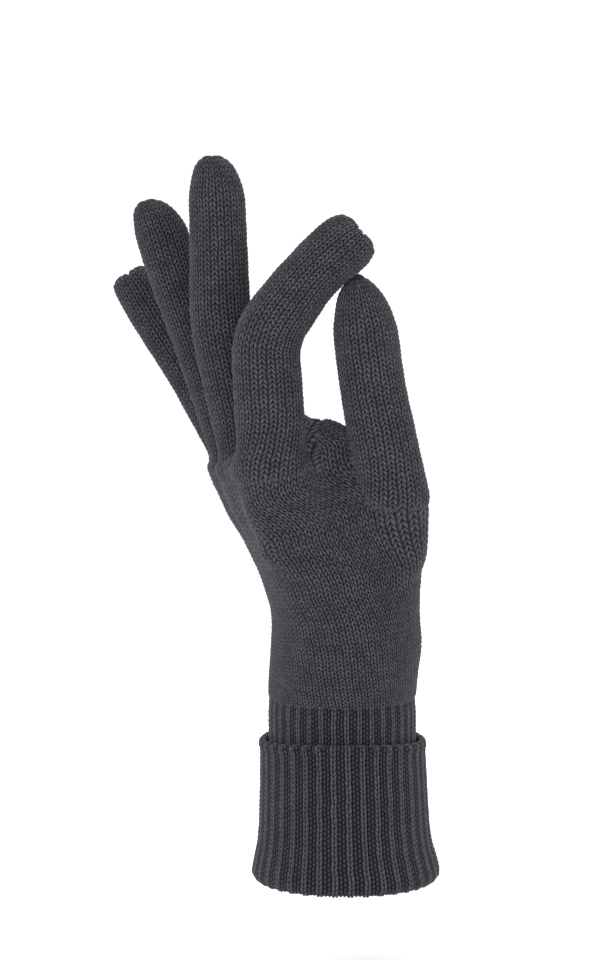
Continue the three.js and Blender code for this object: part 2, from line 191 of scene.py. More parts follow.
def wool(name, colour):
    """Matt two-ply wool, with painted shade in the dips between the loops and a painted highlight on their
    tops. The colour is the middle of its range.
    """
    material = bpy.data.materials.new(name)
    material.use_nodes = True
    nodes, links = material.node_tree.nodes, material.node_tree.links
    skin = nodes["Principled BSDF"]
    skin.inputs["Roughness"].default_value = 0.92
    skin.inputs["Specular IOR Level"].default_value = 0.18
    skin.inputs["Sheen Weight"].default_value = 0.1
    skin.inputs["Sheen Roughness"].default_value = 0.55
    skin.inputs["Sheen Tint"].default_value = (0.85, 0.82, 0.9, 1)

    stitches = nodes.new("ShaderNodeUVMap")
    stitches.uv_map = "knit"
    place = nodes.new("ShaderNodeTexCoord")
    shades = noise(nodes, links, stitches.outputs["UV"], 2.2, 3)
    hairs = noise(nodes, links, place.outputs["Object"], HAIR_SCALE, 2)

    depth = nodes.new("ShaderNodeAttribute")
    depth.attribute_name = "loft"
    # this ramp paints shade into the dips and a highlight onto the tops, from the height of the yarn
    ramp = nodes.new("ShaderNodeValToRGB")
    ends = (DIP_LOFT, DIP_PAINTED_SHADE), (TOP_LOFT, TOP_PAINTED_HIGHLIGHT)
    for stop, (position, shade) in zip(ramp.color_ramp.elements, ends):
        stop.position = position
        stop.color = tuple(shade * c for c in colour) + (1,)
    links.new(depth.outputs["Fac"], ramp.inputs["Fac"])
    body = tinted(nodes, links, ramp.outputs["Color"], shades, 0.86, 1.14)
    body = tinted(nodes, links, body, hairs, 0.6, 1.48)
    links.new(body, skin.inputs["Base Color"])

    plies = nodes.new("ShaderNodeTexWave")
    plies.bands_direction = "DIAGONAL"
    plies.inputs["Scale"].default_value = PLY_SCALE
    plies.inputs["Distortion"].default_value = 1.5
    links.new(stitches.outputs["UV"], plies.inputs["Vector"])
    fuzz = nodes.new("ShaderNodeMath")
    fuzz.operation = "MULTIPLY_ADD"
    fuzz.inputs[1].default_value = 0.35
    links.new(plies.outputs["Fac"], fuzz.inputs[0])
    links.new(hairs, fuzz.inputs[2])
    bump = nodes.new("ShaderNodeBump")
    bump.inputs["Strength"].default_value = 0.6
    bump.inputs["Distance"].default_value = 0.12 * MM
    links.new(fuzz.outputs["Value"], bump.inputs["Height"])
    links.new(bump.outputs["Normal"], skin.inputs["Normal"])
    print("wool:", name)
    return material


# %% The three wools
CHARCOAL = (0.031, 0.0281, 0.0352)
PLAIN_WOOL = wool("plain_knit_wool", CHARCOAL)
RIB_WOOL = wool("ribbed_wool", tuple(1.32 * c for c in CHARCOAL))
YARN_WOOL = wool("closing_yarn_wool", tuple(0.8 * c for c in CHARCOAL))


# %% [markdown]
# ## Stitches
#
# In stocking stitch every loop shows as two slanting legs, so a column of stitches looks like a
# stack of arrowheads. The legs could be modelled as separate tubes of yarn, but fifteen thousand
# stitches of tube would be far too heavy. Instead one fine grid is laid out flat, its rows are bent
# into the zigzag that the legs follow, and each leg is raised as a rounded ridge between two dips.
# A few faces a leg are then enough, because the edges of the mesh run along the yarn.

# %% The relief of plain knitting
COLUMNS = 8  # faces across one stitch
ROWS = 5  # faces up one stitch
SLANT = 0.95  # how far a leg climbs, in rows of stitches


def zigzag(wale):
    """How far up a row of the grid is moved at each place across, in rows of stitches."""
    return SLANT * (0.5 - np.abs(2 * np.mod(wale, 1) - 1))


def plain_relief(wale, course):
    """The height of the yarn, from 0 in the dips to 1 on top of a leg. The dips beside a leg are
    deepest at its foot on one side and half way up on the other."""
    beat = 0.5 + 0.5 * np.cos(2 * np.pi * course)
    within = np.abs(np.mod(wale, 1) - 0.5) < 0.25
    dip = 0.4 + 0.6 * np.where(within, beat, 1 - beat)
    leg = 1 - dip * (1 - np.sin(np.pi * np.mod(2 * wale, 1)) ** 0.85)
    ridge = np.sqrt(np.clip(1 - (2 * np.mod(course, 1) - 1) ** 2, 0, 1))
    return leg * (0.25 + 0.75 * ridge)


def unevenness(seed, wale, course):
    """Smooth noise with a new value at each stitch, between -1 and 1, and the same all round."""
    wide = int(round(wale.max()))
    table = np.random.default_rng(seed).uniform(-1, 1, (int(course.max()) + 4, wide))
    i, j = np.floor(wale).astype(int), np.floor(course).astype(int)
    fi, fj = wale - i, course - j
    low = table[j, i % wide] * (1 - fi) + table[j, (i + 1) % wide] * fi
    high = table[j + 1, i % wide] * (1 - fi) + table[j + 1, (i + 1) % wide] * fi
    return low * (1 - fj) + high * fj


# %% [markdown]
# ## A surface to knit on
#
# Every part of the glove is first a smooth surface: a closed loop of points for each of many levels.
# A tube of cloth is then knitted on it. The surface is kept as a table of points, so one routine can
# knit on a finger, on the hand and on the cuff alike. The table is read between its points by
# blending the nearest four.

# %% Surfaces
def between(table, across, along):
    """Reads a table of points [level, turn, xyz]. Both places run from 0 to 1; turns wrap round."""
    levels, turns = table.shape[:2]
    a = np.mod(across, 1) * turns
    b = np.clip(along, 0, 1) * (levels - 1)
    i, j = np.floor(a).astype(int) % turns, np.minimum(np.floor(b).astype(int), levels - 2)
    fa, fb = (a - np.floor(a))[..., None], (b - j)[..., None]
    i2 = (i + 1) % turns
    low = table[j, i] * (1 - fa) + table[j, i2] * fa
    high = table[j + 1, i] * (1 - fa) + table[j + 1, i2] * fa
    return low * (1 - fb) + high * fb


def outward(table, across, along):
    """The unit normal of the surface at the same places."""
    da, db = 1.5 / table.shape[1], 1.5 / table.shape[0]
    round_way = between(table, across + da, along) - between(table, across - da, along)
    up_way = between(table, across, along + db) - between(table, across, along - db)
    normal = np.cross(round_way, up_way)
    size = np.linalg.norm(normal, axis=-1, keepdims=True)
    return normal / np.maximum(size, 1e-12)


def relaxed(values, times):
    """Evens out a list of numbers or points, whose two ends stay where they are."""
    for _ in range(times):
        values[1:-1] = (values[:-2] + 2 * values[1:-1] + values[2:]) / 4
    return values


def smoothed(table, turns_width, levels_width):
    """Evens out a table of points, first round it and then along it."""
    for _ in range(turns_width):
        table = (np.roll(table, 1, 1) + 2 * table + np.roll(table, -1, 1)) / 4
    return relaxed(table, levels_width)


def run_along(line):
    """How far along a line of points each of them lies."""
    return np.concatenate([[0], np.cumsum(np.linalg.norm(np.diff(line, axis=0), axis=1))])


def step_up(value, low, high):
    """Rises smoothly from 0 at low to 1 at high."""
    share = np.clip((value - low) / (high - low), 0, 1)
    return share * share * (3 - 2 * share)


def unit(vector):
    return vector / np.linalg.norm(vector)


# %% [markdown]
# ## Knitting on a surface
#
# The grid is made flat by one operator. Its rows are numbered up from the bottom: first a few coarse
# rows for the inside of the cloth, running down, and then the fine rows of the outside, running up.
# So one sheet turns in on itself like a sock, and once the ends are merged it is a closed skin with a
# thickness. A solidify modifier would double the fine side as well, where nothing is seen.

# %% A sheet and its finish
MERGE = 2e-6  # metres


def flat_sheet(name, nx, ny):
    """A flat sheet of nx by ny faces, and the column and the row of each of its vertices."""
    flat = bmesh.new()
    bmesh.ops.create_grid(flat, x_segments=nx, y_segments=ny, size=0.5)
    mesh = bpy.data.meshes.new(name)
    flat.to_mesh(mesh)
    flat.free()
    co = np.zeros(len(mesh.vertices) * 3, np.float32)
    mesh.vertices.foreach_get("co", co)
    co = co.reshape(-1, 3)
    return mesh, np.rint((co[:, 0] + 0.5) * nx), np.rint((co[:, 1] + 0.5) * ny)


def finished(mesh, place, stitch, loft, finish, turn_out=False):
    """Bends a sheet into place, gives it the map of stitches and the depth of the yarn, and joins the
    edges that meet. place is in metres; stitch is how far across and up each vertex lies."""
    mesh.vertices.foreach_set("co", place.astype(np.float32).ravel())
    corner = np.zeros(len(mesh.loops), np.int32)
    mesh.loops.foreach_get("vertex_index", corner)
    layer = mesh.uv_layers.new(name="knit")
    uv = np.stack([stitch[0][corner], stitch[1][corner]], axis=1)
    layer.data.foreach_set("uv", uv.astype(np.float32).ravel())
    # the height of the yarn, from which the wool paints shade into the dips and a highlight onto the tops
    depth = mesh.attributes.new("loft", "FLOAT", "POINT")
    depth.data.foreach_set("value", np.clip(loft, 0, 1).astype(np.float32))
    skin = bmesh.new()
    skin.from_mesh(mesh)
    bmesh.ops.remove_doubles(skin, verts=skin.verts, dist=MERGE)
    if turn_out:
        bmesh.ops.recalc_face_normals(skin, faces=skin.faces)
    for face in skin.faces:
        face.smooth = True
    skin.to_mesh(mesh)
    skin.free()
    mesh.materials.append(finish)
    piece = bpy.data.objects.new(mesh.name, mesh)
    bpy.context.scene.collection.objects.link(piece)
    return piece


# %% [markdown]
# No two stitches of real knitting are alike. So each one stands out a little more or less than the
# next, sways sideways and sits a little high or low. A texture could shift the surface at random, but
# one value for each stitch keeps the loops whole. The tops of the loops lie outside the smooth surface
# and the dips lie inside it, so the glove keeps its size.

# %% The knitting routine
MIDDLE_LOFT = 0.6  # the height of the yarn, from 0 to 1, that lies on the smooth surface
LOFT_SPREAD, SWAY, BOB = 0.22, 0.1, 0.16  # how much the stitches differ, in shares of a stitch


def knit(name, table, wales, courses, span, finish, relief=plain_relief, height=0.62 * MM,
         closed=False, columns=COLUMNS, rows=ROWS, zigzag=zigzag, thickness=1.2 * MM, first=0,
         shape=None, lining=12, uneven=1.0, rolled=0.0):
    """Knits a tube on part of a surface. span is the part of the surface, from 0 to 1, that the
    courses cover. first is the number of the first course, which keeps two pieces in step. shape
    may push the skin in or out, rolled is how many courses curl in at the top."""
    nx = int(round(wales * columns))
    ny = lining + int(round(courses * rows))
    mesh, i, j = flat_sheet(name, nx, ny)

    # where each vertex lies, in stitches: the lining runs down and the outside runs up
    wale = i / columns
    outside = (j >= lining) | (j == 0)
    course = np.where(j >= lining, (j - lining) / rows, courses * (1 - j / lining))
    left = courses - course
    lift = zigzag(wale)
    if closed:
        lift = lift * np.clip(left / 2, 0, 1)
    if rolled:
        lift = lift * np.clip(left / 1.5, 0, 1)

    # how each stitch differs from the next
    loft = relief(wale, first + course)
    loft = loft * (1 + LOFT_SPREAD * uneven * unevenness(11, wale, first + course))
    sway = SWAY * uneven * unevenness(23, wale, first + course)
    bob = BOB * uneven * unevenness(37, wale, first + course)
    if closed or rolled:
        bob = bob * (course < courses - 1)

    # the place on the smooth surface, and how far the skin stands out from it
    along = span[0] + (span[1] - span[0]) * (course + lift + bob) / courses
    across = (wale + sway) / wales
    place = between(table, across, along)
    raised = np.where(outside, (loft - MIDDLE_LOFT) * height, -thickness)
    if shape is not None:
        raised = raised + shape(wale, left) * MM
    if rolled:
        raised = raised - thickness * np.clip(1 - left / rolled, 0, 1) ** 2
    place = place + outward(table, across, along) * raised[:, None]
    if closed:
        for end in (j == ny, j == 0):
            place[end] = place[end].mean(axis=0)
    piece = finished(mesh, place, (wale, first + course), loft, finish)
    print(f"{name}: {wales} wales, {courses} courses, {len(mesh.polygons)} faces")
    return piece


# %% [markdown]
# ## The form under the cloth
#
# Knitting has no corners of its own: it takes the shape of what fills it. So the glove is first given
# a form, as if a hand were in it, built from simple bodies: a palm, the ball of the thumb, the fold
# between thumb and forefinger, and a bent tube for each digit. Each body is only a rule that tells how
# far a point is from its skin. The rules are joined with a soft minimum, which fillets every place
# where two bodies meet, as stretched cloth does. Metaballs would join them too, but could not keep
# the sizes.

# %% Rules for distance
def soft_min(a, b, reach):
    """The smaller of two distances, rounded where they are within reach of one another."""
    near = np.maximum(reach - np.abs(a - b), 0) / reach
    return np.minimum(a, b) - near * near * reach / 4


# %% [markdown]
# The palm is a stack of rounded squares that lean back more and more from the wrist to the knuckles.
# Straight levels would be simpler, but the knuckles of a bent hand lie on a slope.

# %% The palm
# The palm, as levels that fan out from the wrist to the knuckles: the middle of each level, its half
# depth and half breadth, how square it is, its tilt and its twist, in millimetres and degrees.
PALM_SHARE = np.array([0, 0.13, 0.27, 0.42, 0.58, 0.74, 0.9, 1.0])
PALM = {
    "x": np.array([-1.9, -1.8, -2.6, -5.8, -12.4, -20.6, -29.0, -32.8]),
    "z": np.array([59.8, 68.5, 79.5, 92.5, 106.5, 121, 135, 142]),
    "depth": np.array([24.4, 24.4, 22.8, 19.2, 16.6, 14.6, 13.1, 12.2]),
    "breadth": np.array([29.3, 29.6, 30.2, 31.8, 33.8, 35.8, 36.6, 36.2]),
    "square": np.array([2, 2, 2.05, 2.15, 2.4, 2.7, 2.9, 3.0]),
    "tilt": np.radians([0, 1, 4, 9, 14, 19, 23, 25]),
    "twist": np.radians([0, 2, 4, 6, 8, 10, 11, 11]),
}
FINE = np.linspace(0, 1, 81)  # many levels between those
SIDEWAYS = np.array([0, 1.0, 0])


def eased(key, share):
    """A value of the palm at a share of the way up, with soft corners between its levels."""
    values = relaxed(np.interp(FINE, PALM_SHARE, PALM[key]), 12)
    return np.interp(share, FINE, values)


def palm_axes(share):
    """The middle of a level, and the ways along it and up from it."""
    tilt = eased("tilt", share)
    zero = np.zeros_like(tilt)
    middle = np.stack([eased("x", share), zero, eased("z", share)], axis=-1)
    along = np.stack([np.cos(tilt), zero, np.sin(tilt)], axis=-1)
    up = np.stack([-np.sin(tilt), zero, np.cos(tilt)], axis=-1)
    return middle, along, up


def palm_distance(points):
    """How far points are from the palm: first the level that a point lies on is found, and then how
    far it is from the middle of that level, as a share of the level's own radius that way."""
    middles, _, ups = palm_axes(FINE)
    above = points @ ups.T - np.sum(middles * ups, axis=1)
    level = np.clip(np.sum(above > 0, axis=1) - 1, 0, len(FINE) - 2)
    row = np.arange(len(points))
    low, high = above[row, level], above[row, level + 1]
    share = (level + np.clip(low / np.maximum(low - high, 1e-9), 0, 1)) / (len(FINE) - 1)
    middle, along, _ = palm_axes(share)
    forward = np.sum((points - middle) * along, axis=1)
    sideways = points[:, 1]
    twist, square = eased("twist", share), eased("square", share)
    turned_forward = forward * np.cos(twist) + sideways * np.sin(twist)
    turned_sideways = -forward * np.sin(twist) + sideways * np.cos(twist)
    ratio = ((np.abs(turned_forward) / eased("depth", share)) ** square
             + (np.abs(turned_sideways) / eased("breadth", share)) ** square) ** (1 / square)
    beside = np.hypot(forward, sideways) * (1 - 1 / np.maximum(ratio, 0.05))
    over = above[:, -1]
    outside = np.where(beside > 0, np.hypot(beside, np.maximum(over, 0)), np.maximum(beside, over))
    return np.where(over > 0, outside, beside)


# %% [markdown]
# The ball of the thumb is a cone with round ends, and the web is a flat plate with a round edge, which
# a hollow sets back beside the forefinger.

# %% The ball of the thumb
THENAR = np.array([[5.6, -8, 85], [14.3, -27.5, 129.5]])  # its two ends
THENAR_RADII = (17.1, 10.6)
THENAR_FILLET = 12  # how softly it runs into the palm


def thenar_distance(points):
    """How far points are from the ball of the thumb."""
    line = THENAR[1] - THENAR[0]
    share = np.clip((points - THENAR[0]) @ line / (line @ line), 0, 1)
    radius = THENAR_RADII[0] + (THENAR_RADII[1] - THENAR_RADII[0]) * share
    return np.linalg.norm(points - THENAR[0] - share[:, None] * line, axis=1) - radius


# %% The web
# The fold between the thumb and the forefinger, seen from the side, as corners (x, z).
WEB = [(-26, 112), (6, 108), (14, 124), (9, 140), (4, 149.5), (-2, 151), (-7, 152.4),
       (-12, 156), (-17, 163), (-26, 164)]
WEB_Y = -26
WEB_HALF = 2.6


def web_distance(points):
    """How far a point is from a flat plate with the outline of the web and a round edge."""
    flat = points[:, [0, 2]]
    nearest = np.full(len(points), 1e9)
    sign = np.ones(len(points))
    for a, b in zip(np.array(WEB, float), np.roll(np.array(WEB, float), -1, axis=0)):
        edge, offset = b - a, flat - a
        gap = offset - np.clip(offset @ edge / (edge @ edge), 0, 1)[:, None] * edge
        nearest = np.minimum(nearest, np.sum(gap * gap, axis=1))
        turn = edge[0] * offset[:, 1] - edge[1] * offset[:, 0]
        crossing = ((flat[:, 1] >= a[1]) & (flat[:, 1] < b[1]) & (turn > 0)) | (
            (flat[:, 1] < a[1]) & (flat[:, 1] >= b[1]) & (turn < 0))
        sign = np.where(crossing, -sign, sign)
    inside = sign * np.sqrt(nearest)
    return np.hypot(np.maximum(inside, 0), points[:, 1] - WEB_Y) - WEB_HALF


# %% The hollow before the web
RECESS = np.array([-7, -36, 147.5])
RECESS_RADIUS = 9.5
RECESS_EDGE = 4  # how softly it starts


def recessed(form, points):
    """The form with a soft hollow in front of the web, beside the root of the forefinger."""
    return -soft_min(-form, np.linalg.norm(points - RECESS, axis=1) - RECESS_RADIUS,
                     RECESS_EDGE)


# %% [markdown]
# ## Fingers and thumb
#
# A finger of the glove is a tube that follows the finger inside it, straight between the knuckles and
# softly bent at each one. Its middle line is drawn through the joints of the frame, so that the cloth
# bends where the frame does. The tube starts some way inside the hand, where it is hidden. The end is
# drawn shut, which leaves a short ridge instead of a point.

# %% The digits' measures
# For each: its columns of stitches, how broad it is for its depth, the radius at its root, at each
# joint and at its end, how far the end lies beyond the last joint, the length of the dome that
# closes it, how sharp that dome is, half the ridge on top, how far the tip is pulled towards the
# back of the hand, how deep the ridge is pinched in the middle, where each corner of its middle line
# lies beside the joint, as (x, z), how far the root reaches into the hand, how far before the
# knuckle its seam lies, how thick and how long its fillet may be, and its twist in radians. into_palm,
# into_web and into_hand say how softly it runs into each, and stump is how much of it beyond the
# seam shapes the hand. All lengths are in millimetres.
FINGER = {"moved": [(0, 0)] * 5, "seam": 5, "filleted": 18, "twist": 0.3,
          "into_palm": 6.5, "into_web": 0, "into_hand": 5, "stump": 30}
DIGITS = {
    "index": {**FINGER, "wales": 24, "breadth": 0.84, "radii": (11.2, 11.2, 10.8, 9.3, 10.1),
              "tip": 22.2, "dome": 10, "sharp": 0.5, "ridge": 3.6, "pull": -0.4, "pinch": 3.4,
              "moved": [(0.6, 0), (1.0, 0), (-0.7, 0), (0.1, -0.2), (-0.3, -0.3)],
              "root": 15, "fillet": 5, "filleted": 12, "twist": 0.5, "into_palm": 6, "into_web": 6},
    "middle": {**FINGER, "wales": 24, "breadth": 0.88, "radii": (10.6, 10.2, 9.9, 9.2, 8.9),
               "tip": 26.0, "dome": 17, "sharp": 0.62, "ridge": 2.0, "pull": 1.2, "pinch": 0.9,
               "root": 15, "fillet": 3},
    "ring": {**FINGER, "wales": 22, "breadth": 0.92, "radii": (9.8, 9.5, 8.8, 8.5, 8.6),
             "tip": 25.4, "dome": 15, "sharp": 0.66, "ridge": 1.8, "pull": 2.2, "pinch": 0.6,
             "moved": [(0, 0), (0, 0), (0, 0), (-0.5, 0), (-0.5, 0)],
             "root": 14, "fillet": 5},
    "little": {**FINGER, "wales": 20, "breadth": 0.93, "radii": (8.4, 8.1, 7.8, 7.9, 7.9),
               "tip": 20.2, "dome": 9, "sharp": 0.5, "ridge": 3.8, "pull": 0.6, "pinch": 2.0,
               "moved": [(0.4, 0), (0.4, 0), (0.2, 0), (-0.2, -0.6), (-0.4, -0.9)],
               "root": 13, "fillet": 6},
    "thumb": {"wales": 24, "breadth": 0.9, "radii": (10.9, 11.2, 10.4, 10.2),
              "tip": 35.6, "dome": 22, "sharp": 0.78, "ridge": 1.9, "pull": 1.0, "pinch": 0.0,
              "moved": [(0.2, 0), (0.2, 0), (-0.4, 0), (-2.2, 0)],
              "root": 17, "seam": 2, "fillet": 1.6, "filleted": 12, "twist": 0.2,
              "into_palm": 2.5, "into_web": 2, "into_hand": 2, "stump": 4},
}
COURSE = 1.58  # height of a row of stitches on the fingers, mm
BEND = 8  # how far from a joint its bend starts, mm
THUMB_ROOT_WAY = np.array([0.2, -0.3, 0.93])  # the way the thumb leaves the hand
print("columns of stitches:", {name: facts["wales"] for name, facts in DIGITS.items()})


# %% [markdown]
# A digit's middle line has a corner at each joint of the frame, and one at each end. Its corners are
# rounded by simple curves, and the radius is read along it between the joints. A spline through the
# joints would be shorter to write, but would sway past them.

# %% Middle lines
def rounded_path(corners, bend, step=0.5):
    """Points along straight stretches whose corners are rounded over the length bend."""
    line = [corners[0]]
    for before, corner, after in zip(corners, corners[1:], corners[2:]):
        into, out = unit(corner - before), unit(after - corner)
        for t in np.linspace(0, 1, 12):
            start, end = corner - into * bend, corner + out * bend
            line.append((1 - t) ** 2 * start + 2 * t * (1 - t) * corner + t**2 * end)
    line = np.array([*line, corners[-1]])
    length = run_along(line)
    wanted = np.linspace(0, length[-1], int(length[-1] / step))
    return np.stack([np.interp(wanted, length, line[:, k]) for k in range(3)], axis=1), wanted


def measured(name, facts):
    """Adds a digit's middle line and the radius along it to its facts."""
    if name == "thumb":
        chain, bodies = ["thumb_swing", "thumb_tip_bend"], ["thumb_lower", "thumb_tip"]
    else:
        chain = [f"{name}_knuckle", f"{name}_middle_bend", f"{name}_tip_bend"]
        bodies = [f"{name}_lower", f"{name}_middle", f"{name}_tip"]
    places = [np.array(JOINTS[joint]["pos_m"], float) / MM for joint in chain]
    hinge = np.array(JOINTS[chain[0]]["axis"], float)
    low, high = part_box(bodies[-1])
    ahead = (np.array(low) + np.array(high)) / 2 / MM - places[-1]
    ahead = unit(ahead - hinge * (ahead @ hinge))
    hand_way = THUMB_ROOT_WAY if name == "thumb" else palm_axes(np.array(0.9))[2]
    back = unit(unit(places[1] - places[0]) + hand_way)
    corners = [places[0] - back * facts["root"], *places, places[-1] + ahead * facts["tip"]]
    corners = [corner + (x, 0, z) for corner, (x, z) in zip(corners, facts["moved"])]
    middle, run = rounded_path(corners, BEND)
    steps = [np.linalg.norm(b - a) for a, b in zip(corners, corners[1:])]
    stations = np.concatenate([[0], np.cumsum(steps)]) * run[-1] / sum(steps)
    radius = relaxed(np.interp(run, stations, facts["radii"]), 30)
    way = np.gradient(middle, axis=0)
    way /= np.linalg.norm(way, axis=1, keepdims=True)
    side = np.cross(hinge, way)
    side /= np.linalg.norm(side, axis=1, keepdims=True)
    return {**facts, "bodies": bodies, "hinge": hinge, "corners": corners, "stations": stations,
            "seam_at": stations[1] - facts["seam"], "middle": middle, "run": run,
            "radius": radius, "way": way, "side": side}


for name in DIGITS:
    DIGITS[name] = measured(name, DIGITS[name])
    print(name, "is", round(DIGITS[name]["run"][-1], 1), "mm along its middle line")


# %% [markdown]
# Near its root a digit's skin is not round: it swells until it meets the soft union of the digit and
# the hand, and just before the seam it sinks under the hand's own skin. So the two skins cross in one
# line, the seam, and no edge is left open. A boolean union would cut the stitches there.

# %% The skin of a digit
def digit_distance(points, digit):
    """How far points are from a digit's skin, and how far along its middle line they lie."""
    every = slice(None, None, 4)
    middle, hinge = digit["middle"][every], digit["hinge"]
    offset = points[:, None, :] - middle[None]
    sideways = offset @ hinge
    square = np.sum(offset * offset, axis=2) + sideways**2 * (digit["breadth"] ** -2 - 1)
    nearest = np.argmin(square, axis=1)
    closest = np.sqrt(square[np.arange(len(points)), nearest])
    return closest - digit["radius"][every][nearest], digit["run"][every][nearest]


def form_distance(points, name):
    """How far points are from the soft union of one digit and the hand."""
    digit = DIGITS[name]
    palm = soft_min(palm_distance(points), thenar_distance(points), THENAR_FILLET)
    own, _ = digit_distance(points, digit)
    form = soft_min(own, palm, digit["into_palm"])
    if digit["into_web"]:
        form = soft_min(form, web_distance(points), digit["into_web"])
    return recessed(form, points) if name == "index" else form


def digit_surface(name, turns=96):
    """A digit's skin as a table of points: its tube, filleted into the hand, and its closed end."""
    digit = DIGITS[name]
    run, radius, dome, ridge = digit["run"], digit["radius"], digit["dome"], digit["ridge"]

    # the closed end: a dome that ends in a short ridge, which may be pulled back and pinched
    q = np.clip((run - (run[-1] - dome)) / dome, 0, 1)
    closing = np.clip(1 - q**2, 0, 1) ** digit["sharp"]
    deep = np.where(q > 0, ridge * (1 - closing) * np.minimum(1, 4 * (1 - q)) + radius * closing,
                    radius)
    wide = radius * digit["breadth"] * closing
    back = -digit["side"] * np.sign(digit["side"][-1, 0]) * digit["pull"]
    pinched = digit["way"] * (digit["pinch"] * (q > 0) * np.exp(-(deep / 2.4) ** 2))[:, None]
    line = digit["middle"] + back * q[:, None] ** 2 - pinched
    digit["end"] = line[-1]

    # the tube, with its columns of stitches twisted a little near the root
    seam = digit["seam_at"]
    lean = -digit["twist"] * (1 - step_up(run, seam - 5, seam + 20))
    angle = 2 * np.pi * np.arange(turns) / turns + lean[:, None]
    reach = (np.cos(angle)[..., None] * deep[:, None, None] * digit["side"][:, None, :]
             + np.sin(angle)[..., None] * wide[:, None, None] * digit["hinge"])
    length = np.linalg.norm(reach, axis=2, keepdims=True)
    ways = reach / np.maximum(length, 1e-9)

    # the fillet into the hand, and the end that sinks under the hand's skin
    low = run < digit["stations"][1] + digit["filleted"]
    grown = length[low].copy()
    for _ in range(8):
        spots = digit["middle"][low][:, None, :] + ways[low] * grown
        gap = form_distance(spots.reshape(-1, 3), name).reshape(grown.shape)
        grown = np.clip(grown - gap, length[low], length[low] + digit["fillet"])
    sunk = 1.2 * (1 - step_up(run[low], seam - 4, seam + 1))
    length[low] = grown - sunk[:, None, None]
    return (line[:, None, :] + ways * length) * MM


# %% [markdown]
# Each digit is knitted in as many pieces as it has joints. The fingertip's cloth is drawn together
# in small folds.

# %% Knit the digits
def tip_shape(strength, cleft):
    """Small folds round the closed end of a finger, where too many stitches meet, and one deeper
    groove that runs back from the middle of the end along the thumb's side."""
    def folds(wale, left):
        fade = np.clip(1 - left / 5, 0, 1) ** 1.5
        turn = 2 * np.pi * wale / wale.max()
        groove = np.exp(-((turn - 1.5 * np.pi) / 0.3) ** 2) * np.clip(1 - left / 8, 0, 1)
        return strength * fade * np.cos(np.pi * wale) - cleft * groove
    return folds


for name, digit in DIGITS.items():
    table = digit_surface(name)
    stations, corners = digit["stations"], digit["corners"]
    total = int(round(digit["run"][-1] / COURSE))
    cuts = [0, *(int(round((stations[k] + stations[k + 1]) / 2 / digit["run"][-1] * total))
                 for k in range(1, len(stations) - 2)), total]
    for k, stretch in enumerate(digit["bodies"]):
        last = k == len(digit["bodies"]) - 1
        piece = knit(f"{stretch}_knit", table, digit["wales"], cuts[k + 1] - cuts[k],
                     (cuts[k] / total, cuts[k + 1] / total), PLAIN_WOOL, closed=last,
                     first=cuts[k], shape=tip_shape(0.3, 0.22 * digit["pinch"]) if last else None)
        into, out = unit(corners[k + 1] - corners[k]), unit(corners[k + 2] - corners[k + 1])
        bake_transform(piece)
        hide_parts(stretch)


# %% [markdown]
# ## The hand
#
# The hand is one tube that starts at the wrist, widens over the ball of the thumb and ends at the
# knuckles. Its rows of stitches lie on slanting levels, flat at the wrist and tilted at the knuckles,
# because knitting fans out over the ball of the thumb. At each level the skin is found by walking in
# from far outside until the form is met. The columns of stitches are then shared out round the level,
# and drawn round towards the back of the hand on the way up, as they are when a hand bends its wrist.

# %% The hand's form
LEVELS = 100
RAYS = 420
HAND_WALES = 76
HAND_COURSES = 60
HAND_TURNS = 4 * HAND_WALES  # points round a level of the surface
START_FAR = 70.0  # how far out the walk starts, mm
WEB_FILLET = 7


def hand_distance(points):
    """How far points are from the whole hand, with a stump of each digit."""
    form = soft_min(palm_distance(points), thenar_distance(points), THENAR_FILLET)
    form = recessed(soft_min(form, web_distance(points), WEB_FILLET), points)
    for digit in DIGITS.values():
        own, along = digit_distance(points, digit)
        beyond = np.maximum(along - digit["seam_at"] - digit["stump"], 0)
        form = soft_min(form, own + beyond, digit["into_hand"])
    return form


# %% Walk in to the skin
# The rays start at a hub that moves towards the thumb on the way up, so that they meet the web.
share = np.linspace(0, 1, LEVELS)
middle, along, up = palm_axes(share)
swing = step_up(share, 0.25, 0.8)
hub = middle + along * (7 * swing)[:, None] + SIDEWAYS * (-19 * swing)[:, None]
angle = np.pi / 2 + 2 * np.pi * np.arange(RAYS) / RAYS
rays = (np.cos(angle)[None, :, None] * along[:, None, :]
        + np.sin(angle)[None, :, None] * SIDEWAYS)
far = np.full((LEVELS, RAYS, 1), START_FAR)
for _ in range(14):
    spots = hub[:, None, :] + rays * far
    gap = hand_distance(spots.reshape(-1, 3)).reshape(far.shape)
    far = np.maximum(far - 0.92 * gap, 3)
outline = hub[:, None, :] + rays * far
print("the hand's skin:", outline.shape, "last step, mm:", float(np.abs(gap).max()))

# %% Sink it under the digits
# The hand's skin goes under each digit's, past the row where the digit takes over.
points = outline.reshape(-1, 3)
sink = np.zeros(len(points))
for digit in DIGITS.values():
    own, run = digit_distance(points, digit)
    seam, fillet = digit["seam_at"], digit["fillet"]
    over = step_up(run, seam - 1, seam + 4) * (1 - step_up(own, fillet - 2, fillet))
    sink = np.maximum(sink, 1.6 * over)
outline = outline - rays * sink.reshape(LEVELS, RAYS, 1)
print("sunk places:", int(np.sum(sink > 0)))


# %% [markdown]
# The columns of stitches on the thumb's side do not run straight up: they lean over towards the
# forefinger as they climb, and crowd together at the wrist. So a few of them are given as paths, and
# the rest are spaced between those and evened out. Cutting the map into pieces would be another way, but it
# would leave a seam across the palm.

